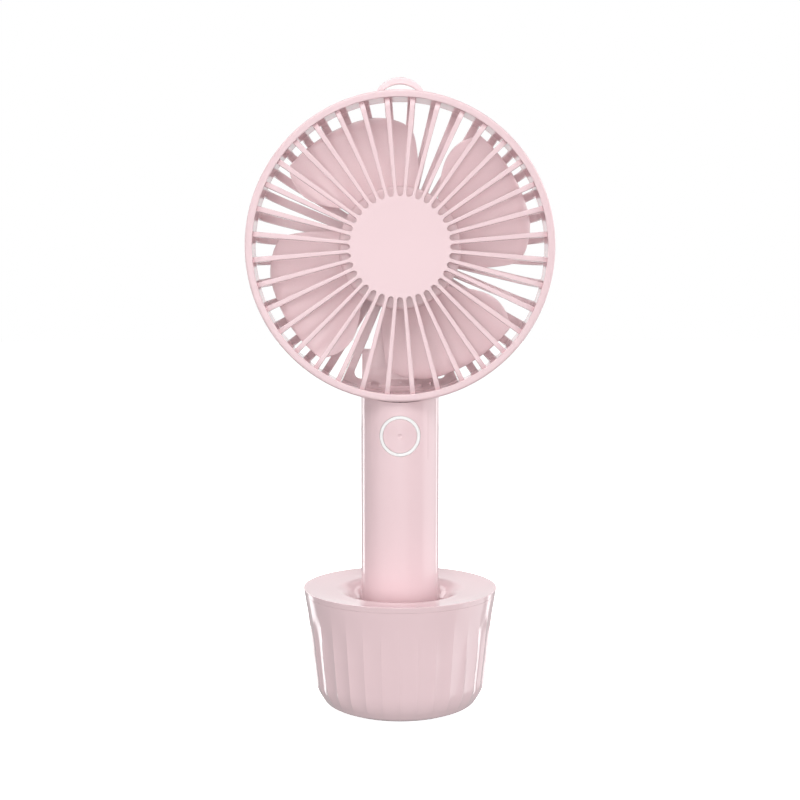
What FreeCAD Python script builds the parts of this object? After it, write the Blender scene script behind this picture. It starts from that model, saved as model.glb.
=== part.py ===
import FreeCAD, Part
import math
import os

# Handheld fan standing in a fluted, pot-shaped desk stand.
# Millimetres.  The origin is the middle of the stand's underside, +Z is up and the air leaves towards -Y.

# ---- driving dimensions ---------------------------------------------------------------------------
FAN_Z = 160.6            # height of the impeller axis above the desk

GUARD_R = 52.5           # outer radius of the round guard
GUARD_WALL = 2.6         # wall of the guard, front ring and rear bowl alike
GUARD_FRONT = -16.0      # front face of the ring
GUARD_SPLIT = -8.0       # joint between front ring and rear bowl
TONGUE = 2.4             # length of the ring's tongue inside the bowl
BOWL_STRAIGHT = 2.0      # where the bowl wall starts to turn inwards
SHOULDER = 8.0           # inner radius of the turn
SPOKE_COUNT = 36
SPOKE_DEPTH = 3.0
DISC_R = 16.4            # plain disc in the middle of the front grille
RIB_COUNT = 40
RIB_WIDTH = 2.8
RIB_SLOT_START = -4.8    # where the rear slots begin on the side wall
MOUNT_R = 20.0           # slot-free middle of the rear bowl
END_SLOT = 18.0          # clock angle, from the bottom, of the two shorter slots beside the neck
END_SLOT_R = 45.75       # centre of their round outer ends
COVER_SECTOR = 13.2      # half angle of the wire cover's foot
COVER_LUG = 10.6         # angle of its two lug notches from the middle

LOOP_R = 9.2             # hanging loop, outer radius
LOOP_HOLE_R = 8.6        # its opening, struck from a lower centre
LOOP_BAND = 2.25         # thickness at the crown
LOOP_RISE = 5.4          # top of the loop above the guard
LOOP_DEPTH = 2.0

BLADE_COUNT = 4
HUB_R = 21.1
HUB_FRONT = -9.0
HUB_BACK = 4.0
TIP_R = 46.7
BLADE_THICK = 1.3

HANDLE_R = 13.7
HANDLE_WALL = 1.8
HANDLE_FOOT = 8.2        # underside of the handle when it stands in the stand
NECK_GAP = 0.3           # clearance between handle top and guard
BUTTON_Z = 96.2
RING_R = 6.96            # outside of the light ring
CAP_R = 5.88             # push button

CELL_R = 9.2             # 18650 lithium cell
CELL_LEN = 65.0
CELL_FOOT = 14.4
BOARD_BACK = 2.6         # rear face of the control board
BOARD_THICK = 1.6
BOARD_FOOT = 81.0
BOARD_TOP = 105.0
BOARD_WIDTH = 19.0
USB_Z = 86.5
NECK_SCREW_Z = 101.0     # screw that holds the handle on the guard's spigot

POT_HEIGHT = 41.5
POT_RIM_R = 34.2
POT_SEAM = 39.5          # joint between pot wall and its lid
POT_SEAM_R = 33.85       # outer radius there
POT_WALL = 2.2
FLUTE_COUNT = 32
FLUTE_DEPTH = 0.45
SOCKET_R = 15.3          # bore of the socket tube
SOCKET_WALL = 2.0
LINER_BORE = 13.9
SOCKET_FLOOR = 6.8
DISH_R = 20.4            # where the dished lid rolls over into the bore
DISH_DROP = 1.1
BOSS_COUNT = 3
BOSS_RING_R = 21.6       # radius on which the stand's screws sit

Y_AXIS = FreeCAD.Vector(0, 1, 0)
Z_AXIS = FreeCAD.Vector(0, 0, 1)
FAN_CENTRE = FreeCAD.Vector(0, 0, FAN_Z)


# ---- small helpers --------------------------------------------------------------------------------
def vec(x, y, z):
    """Point or direction from three numbers."""
    return FreeCAD.Vector(x, y, z)


def outline(place, start, moves):
    """Closed face.  A move of two numbers is a line, one of four is an arc (through, to)."""
    edges = []
    here = place(*start)
    for move in list(moves) + [start]:
        there = place(*move[-2:])
        if here.distanceToPoint(there) < 1e-6:
            continue
        if len(move) == 4:
            edges.append(Part.Arc(here, place(*move[:2]), there).toShape())
        else:
            edges.append(Part.makeLine(here, there))
        here = there
    return Part.Face(Part.Wire(edges))


def turned_z(start, *moves):
    """Solid of revolution about the handle axis from an (r, z) outline."""
    face = outline(lambda r, z: vec(r, 0, z), start, moves)
    return face.revolve(vec(0, 0, 0), Z_AXIS, 360)


def turned_y(start, *moves):
    """Solid of revolution about the impeller axis from an (r, y) outline."""
    face = outline(lambda r, y: vec(r, y, FAN_Z), start, moves)
    return face.revolve(FAN_CENTRE, Y_AXIS, 360)


def rod_z(radius, low, high, x=0.0, y=0.0):
    """Upright cylinder."""
    return Part.makeCylinder(radius, high - low, vec(x, y, low), Z_AXIS)


def rod_y(radius, front, back, x=0.0, z=FAN_Z):
    """Cylinder along the impeller axis, or parallel to it."""
    return Part.makeCylinder(radius, back - front, vec(x, front, z), Y_AXIS)


def tube_z(outer, inner, low, high):
    """Upright tube on the handle axis."""
    return rod_z(outer, low, high).cut(rod_z(inner, low - 1, high + 1))


def tube_y(outer, inner, front, back, x=0.0, z=FAN_Z):
    """Tube along the impeller axis, or parallel to it."""
    return rod_y(outer, front, back, x, z).cut(rod_y(inner, front - 1, back + 1, x, z))


def block(x0, x1, y0, y1, z0, z1):
    """Box between two corners, given axis by axis."""
    return Part.makeBox(x1 - x0, y1 - y0, z1 - z0, vec(x0, y0, z0))


def clock(shape, degrees):
    """Turn a shape about the impeller axis, clockwise as seen from the front."""
    return shape.rotated(FAN_CENTRE, Y_AXIS, degrees)


def about_handle(shape, degrees):
    """Turn a shape about the handle axis."""
    return shape.rotated(vec(0, 0, 0), Z_AXIS, degrees)


def group(shapes):
    """Several solids as one shape."""
    return Part.makeCompound(shapes)


def save(node, shape):
    """Check a piece and write its STEP file."""
    tidy = shape.removeSplitter()
    if not tidy.isValid():
        raise ValueError(node + " is not a valid shape")
    tidy.exportStep("parts/" + node + ".step")
    print(node, len(tidy.Solids), round(tidy.Volume, 1))


def wire_run(points, radius, bend):
    """Round wire through the points, every corner turned with the given bend radius."""
    edges = []
    here = points[0]
    for before, corner, after in zip(points, points[1:], points[2:]):
        back = (before - corner).normalize()
        on = (after - corner).normalize()
        half = back.getAngle(on) / 2
        reach = bend / math.tan(half)
        enter = corner + back * reach
        leave = corner + on * reach
        middle = (back + on).normalize()
        crown = corner + middle * (bend / math.sin(half) - bend)
        edges.append(Part.makeLine(here, enter))
        edges.append(Part.Arc(enter, crown, leave).toShape())
        here = leave
    edges.append(Part.makeLine(here, points[-1]))
    path = Part.Wire(edges)
    section = Part.Wire(Part.makeCircle(radius, points[0], points[1] - points[0]))
    return path.makePipeShell([section], True, False)


# ---- guard ----------------------------------------------------------------------------------------
GUARD_IN = GUARD_R - GUARD_WALL
TURN_R = GUARD_IN - SHOULDER                  # radius of the shoulder's centre line
BACK_IN = BOWL_STRAIGHT + SHOULDER            # inner face of the bowl's back
BACK_OUT = BACK_IN + GUARD_WALL
REBATE_R = GUARD_IN + GUARD_WALL / 2


def front_guard():
    """Front ring with its tongue; a dished plate pierced by tapered, round-ended slots."""
    ring = turned_y((GUARD_R, GUARD_SPLIT - 0.1), (GUARD_R, GUARD_FRONT + 1.0),
                    (GUARD_R - 0.29, GUARD_FRONT + 0.29, GUARD_R - 1.0, GUARD_FRONT),
                    (GUARD_IN, GUARD_FRONT), (GUARD_IN, GUARD_SPLIT + TONGUE),
                    (REBATE_R - 0.15, GUARD_SPLIT + TONGUE), (REBATE_R - 0.15, GUARD_SPLIT - 0.1))
    face_y = GUARD_FRONT + 0.2
    plate = turned_y((0, face_y), (GUARD_IN - 4.5, face_y),
                     (GUARD_IN - 1.6, face_y + 0.5, GUARD_IN + 0.4, face_y + 2.0),
                     (GUARD_IN + 0.4, face_y + 2.0 + SPOKE_DEPTH),
                     (GUARD_IN - 1.9, face_y + 0.5 + SPOKE_DEPTH, GUARD_IN - 4.5, face_y + SPOKE_DEPTH),
                     (0, face_y + SPOKE_DEPTH))
    pitch = math.pi / SPOKE_COUNT
    inner_r, inner_half = DISC_R + 1.45, 0.85
    outer_half = (GUARD_IN + 1) * math.tan(pitch) - 0.9
    slot_face = outline(lambda x, z: vec(x, face_y - 2, FAN_Z + z), (-inner_half, inner_r),
                        [(0, inner_r - inner_half, inner_half, inner_r),
                         (outer_half, GUARD_IN + 1), (-outer_half, GUARD_IN + 1)])
    slot = slot_face.extrude(vec(0, 12, 0))
    slots = [clock(slot, 360 / SPOKE_COUNT * n) for n in range(SPOKE_COUNT)]
    inside = rod_y(GUARD_IN, GUARD_FRONT - 3, 5)
    return ring.fuse(plate.cut(group(slots).common(inside)))


def hanging_loop():
    """Band bent over the top of the bowl, its feet sunk into the wall."""
    front, back = GUARD_SPLIT + 0.4, GUARD_SPLIT + 0.4 + LOOP_DEPTH
    crown = FAN_Z + GUARD_R + LOOP_RISE
    band = rod_y(LOOP_R, front, back, 0, crown - LOOP_R)
    band = band.cut(rod_y(LOOP_HOLE_R, front - 1, back + 1, 0, crown - LOOP_BAND - LOOP_HOLE_R))
    keep = rod_y(GUARD_R + 20, front, back).cut(rod_y(GUARD_R - 0.6, front - 1, back + 1))
    above = block(-20, 20, front, back, FAN_Z + GUARD_R - 4, crown + 1)
    return band.common(keep).common(above)


def bowl_blank(grow):
    """Outside of the rear bowl as a solid, enlarged by grow."""
    r, corner = GUARD_R + grow, SHOULDER + GUARD_WALL + grow
    diagonal = corner * math.sqrt(0.5)
    return turned_y((0, GUARD_FRONT), (r, GUARD_FRONT), (r, BOWL_STRAIGHT),
                    (TURN_R + diagonal, BOWL_STRAIGHT + diagonal, TURN_R, BACK_OUT + grow),
                    (0, BACK_OUT + grow))


def bowl_inside():
    """Hollow of the rear bowl as a solid."""
    diagonal = SHOULDER * math.sqrt(0.5)
    return turned_y((0, -30), (GUARD_IN, -30), (GUARD_IN, BOWL_STRAIGHT),
                    (TURN_R + diagonal, BOWL_STRAIGHT + diagonal, TURN_R, BACK_IN), (0, BACK_IN))


def neck():
    """Fairing that carries the handle's round back up over the bowl, with a spigot for the handle."""
    top = FAN_Z - 36
    behind = block(-20, 20, 2, 20, 100, top)
    above_handle = rod_y(GUARD_R, -30, 30)
    slope = outline(lambda y, z: vec(-20, y, z), (BACK_OUT - 0.6, top + 1),
                    [(HANDLE_R + 1, top + 1), (HANDLE_R + 1, top - 9)]).extrude(vec(40, 0, 0))
    boss = rod_z(HANDLE_R, 100, top).cut(bowl_blank(-0.8))
    fairing = boss.common(behind).common(above_handle).cut(slope)
    spigot = tube_z(HANDLE_R - HANDLE_WALL - 0.15, HANDLE_R - HANDLE_WALL - 1.7, 96.5, 112)
    front_clear = block(-20, 20, -20, 4.2, 90, 106.3)
    side_clear = block(-20, 20, -20, -2.6, 100, 125)
    return fairing.fuse(spigot.cut(front_clear).cut(side_clear))


def rear_guard():
    """Bowl pierced by straight-sided slots, with hanging loop, neck fairing and screw holes."""
    shell = bowl_blank(0).cut(bowl_inside())
    shell = shell.cut(rod_y(GUARD_R + 5, -40, GUARD_SPLIT))
    shell = shell.cut(rod_y(REBATE_R, -40, GUARD_SPLIT + TONGUE + 0.15))
    pitch = math.radians(180 / RIB_COUNT)
    half_rib = RIB_WIDTH / 2 / math.cos(pitch)
    far = GUARD_R + 3
    slot_face = outline(lambda x, z: vec(x, RIB_SLOT_START, FAN_Z + z), (0, half_rib / math.tan(pitch)),
                        [(far * math.tan(pitch) - half_rib, far), (half_rib - far * math.tan(pitch), far)])
    slot = slot_face.extrude(vec(0, 30, 0)).cut(rod_y(MOUNT_R, -40, 40))
    end_half = END_SLOT_R * math.tan(pitch) - half_rib
    short_face = outline(lambda x, z: vec(x, RIB_SLOT_START, FAN_Z + z), (0, half_rib / math.tan(pitch)),
                         [(end_half, END_SLOT_R), (0, END_SLOT_R + end_half, -end_half, END_SLOT_R)])
    short_slot = short_face.extrude(vec(0, 30, 0)).cut(rod_y(MOUNT_R, -40, 40))
    slots = [clock(short_slot, 180 - END_SLOT), clock(short_slot, 180 + END_SLOT)]
    for n in range(RIB_COUNT):
        angle = 360 / RIB_COUNT * n
        if abs(angle - 180) > END_SLOT + 1:
            slots.append(clock(slot, angle))
    shell = shell.cut(group(slots))
    shell = shell.fuse(hanging_loop())
    passage = block(-3, 3, BACK_IN - 2.4, BACK_IN - 0.2, FAN_Z - 58, FAN_Z - 42)
    body = shell.fuse(neck().cut(bowl_inside())).cut(passage)
    hollow = rod_z(HANDLE_R - HANDLE_WALL - 1.7, 96, 112.5).cut(bowl_blank(0))
    body = body.cut(hollow)
    for screw in motor_screw_places():
        body = body.cut(rod_y(1.15, 5, 20, screw[0], screw[1]))
        body = body.cut(rod_y(2.1, BACK_OUT - 1.1, 20, screw[0], screw[1]))
    body = body.cut(rod_y(0.9, 9.0, 13, 0, NECK_SCREW_Z))
    return body


def motor_screw_places():
    """(x, z) of the three screws through the bowl into the motor base."""
    places = []
    for n in range(3):
        angle = math.radians(60 + 120 * n)
        places.append((10.5 * math.sin(angle), FAN_Z + 10.5 * math.cos(angle)))
    return places


def screw_y(radius, head_radius, head_high, tip, head_back, x, z):
    """Screw driven forwards from the back, with a straight driver slot."""
    shank = rod_y(radius, tip, head_back - head_high, x, z)
    head = rod_y(head_radius, head_back - head_high, head_back, x, z)
    slot = block(x - head_radius, x + head_radius, head_back - 0.5, head_back + 1, z - 0.25, z + 0.25)
    return shank.fuse(head).cut(slot)


# ---- motor ----------------------------------------------------------------------------------------
YOKE_R = 16.6
MAGNET_R = 15.6
MAGNET_IN = 13.7
STATOR_R = 13.3
STATOR_HALF = 2.5
SHAFT_R = 1.0
BUSH_R = 2.5
TOWER_R = 4.0
TOOTH_COUNT = 9


def impeller():
    """Hub with a socket for the rotor, carrying the blades."""
    hub = turned_y((0, HUB_FRONT), (HUB_R - 1.0, HUB_FRONT),
                   (HUB_R - 0.29, HUB_FRONT + 0.29, HUB_R, HUB_FRONT + 1.0),
                   (HUB_R, HUB_BACK), (HUB_R - 1.4, HUB_BACK), (HUB_R - 1.4, HUB_FRONT + 1.6),
                   (YOKE_R + 1.4, HUB_FRONT + 1.6), (YOKE_R + 1.4, 1.0), (YOKE_R + 0.02, 1.0),
                   (YOKE_R + 0.02, HUB_FRONT + 1.6), (0, HUB_FRONT + 1.6))
    hub = hub.cut(rod_y(SHAFT_R, HUB_FRONT + 0.8, 0))
    blade = impeller_blade()
    blades = [clock(blade, 360 / BLADE_COUNT * n) for n in range(BLADE_COUNT)]
    inside = rod_y(HUB_R - 0.5, -20, 10)
    for one in blades:
        hub = hub.fuse(one.cut(inside))
    return hub


def blade_edges(r):
    """Angles of a blade's two edges at radius r, degrees clockwise from straight up."""
    lead_hub, lead_mid, lead_tip = 37.8, 27.8, 35.8
    mid = 37.0
    lead = (lead_hub * (r - mid) * (r - TIP_R) / ((HUB_R - mid) * (HUB_R - TIP_R))
            + lead_mid * (r - HUB_R) * (r - TIP_R) / ((mid - HUB_R) * (mid - TIP_R))
            + lead_tip * (r - HUB_R) * (r - mid) / ((TIP_R - HUB_R) * (TIP_R - mid)))
    trail = 106.8 - 0.503 * (r - HUB_R) - 16.1 * max(0.0, (r - mid) / (TIP_R - mid)) ** 4
    return lead, trail


def impeller_blade():
    """Twisted sheet between two edges, nearer the front at its leading edge, of even thickness."""
    rows_front, rows_back = [], []
    radial_steps, chord_steps = 9, 9
    for i in range(radial_steps + 1):
        share = i / radial_steps
        r = HUB_R - 1.0 + (TIP_R - HUB_R + 1.0) * share
        lead, trail = blade_edges(r)
        front, back = [], []
        for j in range(chord_steps + 1):
            along = j / chord_steps
            angle = math.radians(lead + (trail - lead) * along)
            lead_y = HUB_FRONT + 0.5 - 2.0 * share
            y = lead_y + (1.2 - lead_y) * along + 1.2 * math.sin(math.pi * along)
            x, z = r * math.sin(angle), FAN_Z + r * math.cos(angle)
            front.append(vec(x, y, z))
            back.append(vec(x, y + BLADE_THICK, z))
        rows_front.append(front)
        rows_back.append(back)
    faces = []
    for rows in (rows_front, rows_back):
        surface = Part.BSplineSurface()
        surface.interpolate(rows)
        faces.append(surface.toShape())
    sides = [Part.makeRuledSurface(a, b) for a, b in zip(faces[0].Edges, faces[1].Edges)]
    shell = Part.makeShell(faces + sides)
    shell.sewShape()
    solid = Part.makeSolid(Part.Shell(shell.Faces))
    if solid.Volume < 0:
        solid.reverse()
    return solid


def rotor_cup():
    """Steel cup that closes the magnet's field and holds the shaft."""
    return turned_y((SHAFT_R, -7.2), (YOKE_R, -7.2), (YOKE_R, 3.6), (MAGNET_R + 0.02, 3.6),
                    (MAGNET_R + 0.02, -6.2), (3.2, -6.2), (3.2, -4.6), (SHAFT_R, -4.6))


def stator_core():
    """Laminated ring with teeth and pole shoes."""
    core = tube_y(6.8, TOWER_R + 0.02, -STATOR_HALF, STATOR_HALF)
    for n in range(TOOTH_COUNT):
        tooth = block(-1.0, 1.0, -STATOR_HALF, STATOR_HALF, FAN_Z + 6.0, FAN_Z + STATOR_R - 0.6)
        shoe = tube_y(STATOR_R, STATOR_R - 1.3, -STATOR_HALF, STATOR_HALF)
        shoe = shoe.common(block(-3.7, 3.7, -9, 9, FAN_Z + 8, FAN_Z + 15))
        core = core.fuse(clock(tooth.fuse(shoe), 360 / TOOTH_COUNT * n))
    return core


def stator_coils():
    """One coil round each tooth."""
    coils = []
    low, high = FAN_Z + 7.2, FAN_Z + STATOR_R - 1.7
    outer = block(-2.1, 2.1, -STATOR_HALF - 1.0, STATOR_HALF + 1.0, low, high)
    hole = block(-1.05, 1.05, -STATOR_HALF - 0.05, STATOR_HALF + 0.05, low - 1, high + 1)
    coil = outer.cut(hole)
    for n in range(TOOTH_COUNT):
        coils.append(clock(coil, 360 / TOOTH_COUNT * n))
    return group(coils)


def motor_base():
    """Moulded plate with the bearing tower and three screw posts."""
    base = rod_y(14.6, BACK_IN - 1.9, BACK_IN - 0.05).fuse(rod_y(TOWER_R, -4.0, BACK_IN - 1.0))
    base = base.cut(rod_y(BUSH_R, -5.0, BACK_IN - 2.4))
    base = base.cut(rod_y(SHAFT_R + 1.2, 0, BACK_IN - 1.1))
    for x, z in motor_screw_places():
        base = base.fuse(rod_y(2.0, BACK_IN - 3.6, BACK_IN - 1.5, x, z))
        base = base.cut(rod_y(0.8, 0, 20, x, z))
    return base.cut(block(-3.0, 3.0, 0, 20, FAN_Z - 20, FAN_Z - 12.8))


def motor_board():
    """Ring-shaped drive board behind the coils."""
    board = tube_y(12.8, TOWER_R + 0.3, BACK_IN - 4.6, BACK_IN - 3.65)
    return board.cut(block(-2.4, 2.4, 0, 9, FAN_Z - 20, FAN_Z - 12.3))


# ---- handle ---------------------------------------------------------------------------------------
HANDLE_IN = HANDLE_R - HANDLE_WALL


def handle_tube():
    """Round tube coped to the guard, with openings for button, charging socket and screw."""
    tube = tube_z(HANDLE_R, HANDLE_IN, HANDLE_FOOT + 2.0, 125)
    tube = tube.cut(rod_y(GUARD_R + NECK_GAP, -30, 30))
    tube = tube.cut(block(-30, 30, -30, 30, 113, 130))
    tube = tube.cut(rod_y(RING_R + 0.06, -20, 0, 0, BUTTON_Z))
    mouth = block(-3.0, 3.0, 5, 20, USB_Z - 1.65, USB_Z + 1.65)
    mouth = mouth.fuse(rod_y(1.65, 5, 20, -3.0, USB_Z)).fuse(rod_y(1.65, 5, 20, 3.0, USB_Z))
    tube = tube.cut(mouth)
    tube = tube.cut(rod_y(1.15, 5, 20, 0, NECK_SCREW_Z))
    tube = tube.cut(rod_y(2.0, HANDLE_R - 1.1, 20, 0, NECK_SCREW_Z))
    return tube


def handle_end_cap():
    """Rounded foot that plugs into the tube."""
    foot = HANDLE_FOOT
    return turned_z((0, foot), (HANDLE_R - 1.2, foot), (HANDLE_R - 0.35, foot + 0.35, HANDLE_R, foot + 1.2),
                    (HANDLE_R, foot + 1.95), (HANDLE_IN - 0.02, foot + 1.95),
                    (HANDLE_IN - 0.02, foot + 4.6), (HANDLE_IN - 1.6, foot + 4.6),
                    (HANDLE_IN - 1.6, foot + 1.95), (0, foot + 1.95))


def light_ring():
    """Clear guide: a collar behind the wall, a ring flush with the handle and a bore for the button."""
    guide = rod_y(RING_R, -20, -9.0, 0, BUTTON_Z)
    guide = guide.common(rod_z(HANDLE_R, 80, 110))
    inside = rod_z(HANDLE_IN - 0.1, 80, 110)
    collar = rod_y(RING_R + 1.1, -12, -5.2, 0, BUTTON_Z).common(inside)
    tail = rod_y(RING_R, -6, BOARD_BACK - BOARD_THICK - 1.3, 0, BUTTON_Z)
    guide = guide.fuse(collar).fuse(tail)
    guide = guide.cut(rod_y(CAP_R + 0.05, -20, 10, 0, BUTTON_Z))
    return guide.cut(rod_y(CAP_R + 0.55, -10.4, 10, 0, BUTTON_Z))


def button_cap():
    """Push button whose face follows the handle, with a flange that keeps it in and a stem."""
    cap = rod_y(CAP_R, -20, -9.0, 0, BUTTON_Z).common(rod_z(HANDLE_R, 80, 110))
    flange = rod_y(CAP_R + 0.45, -10.3, -9.0, 0, BUTTON_Z)
    stem = rod_y(1.6, -9.2, -3.9, 0, BUTTON_Z)
    dot = rod_y(0.75, -HANDLE_R - 1, -HANDLE_R + 0.35, 0, BUTTON_Z)
    return cap.fuse(flange).fuse(stem).cut(dot)


def cell_sled():
    """Half-round carrier for the cell, with grooves for the control board above it."""
    half = block(-20, 20, 0, 20, 0, 120)
    sled = tube_z(HANDLE_IN - 0.3, CELL_R + 0.3, CELL_FOOT - 1.4, 95.0).common(half)
    sled = sled.fuse(rod_z(HANDLE_IN - 0.3, CELL_FOOT - 1.4, CELL_FOOT - 0.5).common(
        block(-20, 20, -6, 20, 0, 120)))
    top = CELL_FOOT + CELL_LEN + 0.5
    divider = rod_z(HANDLE_IN - 0.3, top, top + 0.9).common(block(-20, 20, -3.5, 20, 0, 120))
    sled = sled.fuse(divider)
    for side in (-1, 1):
        low, high = sorted((side * 8.6, side * 11.2))
        rail = block(low, high, -0.4, 4.0, top + 0.5, 95.0)
        sled = sled.fuse(rail.common(rod_z(HANDLE_IN - 0.3, 0, 120)))
    groove = block(-BOARD_WIDTH / 2 - 0.1, BOARD_WIDTH / 2 + 0.1, BOARD_BACK - BOARD_THICK - 0.1,
                   BOARD_BACK + 0.1, BOARD_FOOT - 0.1, 120)
    sled = sled.cut(groove)
    sled = sled.cut(block(-5.2, 5.2, 4, 20, USB_Z - 2.3, USB_Z + 2.3))
    return sled


def battery_cell():
    """Round lithium cell with its stepped positive end."""
    top = CELL_FOOT + CELL_LEN
    return turned_z((0, CELL_FOOT), (CELL_R - 0.6, CELL_FOOT), (CELL_R, CELL_FOOT + 0.6),
                    (CELL_R, top - 2.4), (CELL_R - 0.5, top - 2.0), (CELL_R - 0.5, top - 1.2),
                    (4.0, top - 1.2), (4.0, top), (0, top))


def cell_tabs():
    """Welded strips on both ends of the cell."""
    tabs = []
    for low in (CELL_FOOT - 0.25, CELL_FOOT + CELL_LEN + 0.05):
        tabs.append(block(-2.5, 2.5, -9.6, 3.0, low, low + 0.2))
    return group(tabs)


def control_board():
    """Board that stands in the sled's grooves."""
    board = block(-BOARD_WIDTH / 2, BOARD_WIDTH / 2, BOARD_BACK - BOARD_THICK, BOARD_BACK,
                  BOARD_FOOT, BOARD_TOP)
    for x in (-3.8, 3.8):
        board = board.cut(rod_y(0.7, 0, 5, x, BOARD_TOP - 2.2))
    return board


def usb_socket():
    """Upright receptacle: thin shell with rounded ends and a contact tongue."""
    def slab(half_wide, half_high, front, back):
        """Flat bar with round ends."""
        flat = block(-half_wide + half_high, half_wide - half_high, front, back,
                     USB_Z - half_high, USB_Z + half_high)
        for x in (-half_wide + half_high, half_wide - half_high):
            flat = flat.fuse(rod_y(half_high, front, back, x, USB_Z))
        return flat
    back = math.sqrt(HANDLE_R ** 2 - 4.6 ** 2) - 0.15
    shell = slab(4.5, 1.6, BOARD_BACK + 0.02, back).cut(slab(4.2, 1.3, BOARD_BACK + 3.0, back + 1))
    tongue = block(-3.35, 3.35, BOARD_BACK + 2.0, back - 0.8, USB_Z - 0.35, USB_Z + 0.35)
    return shell.fuse(tongue)


def tact_switch():
    """Square push switch on the control board."""
    front = BOARD_BACK - BOARD_THICK
    body = block(-3.0, 3.0, front - 3.4, front - 0.02, BUTTON_Z - 3.0, BUTTON_Z + 3.0)
    return body.cut(rod_y(1.75, front - 4, front - 1.6, 0, BUTTON_Z))


def status_leds():
    """Four lamps behind the light ring."""
    leds = []
    front = BOARD_BACK - BOARD_THICK
    for n in range(4):
        angle = math.radians(45 + 90 * n)
        x, z = 6.4 * math.sin(angle), BUTTON_Z + 6.4 * math.cos(angle)
        leds.append(block(x - 0.8, x + 0.8, front - 0.8, front - 0.02, z - 0.5, z + 0.5))
    return group(leds)


# ---- stand ----------------------------------------------------------------------------------------
def pot_shell():
    """Tapered wall with shallow concave flutes that meet in sharp arrises and run out at both ends."""
    seam, wall = POT_SEAM, POT_WALL
    blank = turned_z((25.0, 0.6), (28.6, 1.9, 29.75, 6.5), (31.55, 20.5, 32.6, 31.5),
                     (33.15, 36.0, POT_SEAM_R, seam), (POT_SEAM_R - wall, seam),
                    (33.15 - wall, 36.0, 32.6 - wall, 31.5),
                     (31.5 - wall, 20.5, 29.75 - wall, 6.5), (27.3 - wall, 3.3, 24.3, 2.6),
                     (24.3, 0.6))
    arch = 17.0 ** 2 / (2 * FLUTE_DEPTH)
    half_wide = math.pi * 31.4 / FLUTE_COUNT
    groove = half_wide ** 2 / (2 * FLUTE_DEPTH)
    sweep = 9.0
    cutters = []
    cutter = Part.makeTorus(arch, groove, vec(0, 0, 0), vec(0, -1, 0), -180, 180, sweep)
    cutter.rotate(vec(0, 0, 0), Y_AXIS, 90 + sweep / 2)
    cutter.translate(vec(31.45 - FLUTE_DEPTH + groove + arch, 0, 20.0))
    cutter.rotate(vec(31.45, 0, 20.0), Y_AXIS, 6.0)
    for n in range(FLUTE_COUNT):
        cutters.append(about_handle(cutter, 360 / FLUTE_COUNT * (n + 0.5) - 90))
    return blank.cut(cutters)


def top_collar():
    """Dished lid that rolls over into the socket tube; its skirt plugs into the pot wall."""
    rim, low = POT_HEIGHT, POT_HEIGHT - DISH_DROP
    roll = DISH_R - SOCKET_R
    diagonal = roll * (1 - math.sqrt(0.5))
    inner = SOCKET_R + SOCKET_WALL
    collar = turned_z((POT_SEAM_R, POT_SEAM + 0.05), (POT_RIM_R, rim - 0.1), (POT_RIM_R - 0.15, rim),
                      (POT_RIM_R - 0.6, rim), (27.5, low + 0.25, DISH_R, low),
                      (SOCKET_R + diagonal, low - diagonal, SOCKET_R, low - roll),
                      (SOCKET_R, SOCKET_FLOOR), (0, SOCKET_FLOOR), (0, SOCKET_FLOOR - 1.8),
                      (inner, SOCKET_FLOOR - 1.8), (inner, low - roll), (inner + 3.0, low - 2.6),
                      (28.6, low - 2.2), (28.6, POT_SEAM - 4.0), (30.4, POT_SEAM - 4.0),
                      (31.3, POT_SEAM + 0.05))
    for x, y in boss_places():
        boss = rod_z(3.2, 10.0, low - 2.0, x, y).cut(rod_z(SOCKET_R + 0.5, 0, 60))
        collar = collar.fuse(boss).cut(rod_z(1.2, 9.0, 26.0, x, y))
    return collar


def ballast_plate():
    """Steel ring that keeps the stand steady."""
    plate = tube_z(25.0, SOCKET_R + SOCKET_WALL + 0.4, 4.2, 9.6)
    plate = plate.common(turned_z((0, 4.0), (24.2, 4.0), (25.0, 5.2), (25.0, 10), (0, 10)))
    for x, y in boss_places():
        plate = plate.cut(rod_z(1.9, 0, 20, x, y))
    return plate


def boss_places():
    """(x, y) of the stand's screws."""
    places = []
    for n in range(BOSS_COUNT):
        angle = math.radians(360 / BOSS_COUNT * n + 90)
        places.append((BOSS_RING_R * math.cos(angle), BOSS_RING_R * math.sin(angle)))
    return places


def bottom_cover():
    """Round cover recessed for the screws and the foot pad."""
    cover = rod_z(24.1, 0.7, 4.0)
    cover = cover.cut(rod_z(23.2, 2.3, 6)).cut(tube_z(24.0, 20.0, 0, 1.5))
    for x, y in boss_places():
        boss = rod_z(3.0, 1.5, 4.0, x, y)
        cover = cover.fuse(boss.common(rod_z(24.1, 0, 10)))
        cover = cover.cut(rod_z(1.35, 0, 20, x, y)).cut(rod_z(2.4, 0, 2.9, x, y))
    return cover


def foot_pad():
    """Ring of soft rubber in the cover's groove."""
    return tube_z(23.9, 20.1, 0.0, 1.45)


def base_screws():
    """Screws up through cover and ballast into the lid's bosses."""
    screws = []
    for x, y in boss_places():
        head = rod_z(2.1, 1.5, 2.85, x, y).cut(block(x - 2.2, x + 2.2, y - 0.3, y + 0.3, 1.0, 2.1))
        screws.append(head.fuse(rod_z(1.15, 2.85, 22.0, x, y)))
    return group(screws)


def socket_liner():
    """Soft cup that grips the handle and turns in the socket."""
    low = SOCKET_FLOOR + 0.05
    return turned_z((0, low), (SOCKET_R - 0.1, low), (SOCKET_R - 0.1, 33.2), (LINER_BORE + 0.5, 33.2),
                    (LINER_BORE, 32.6), (LINER_BORE, HANDLE_FOOT - 0.1), (0, HANDLE_FOOT - 0.1))


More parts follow.
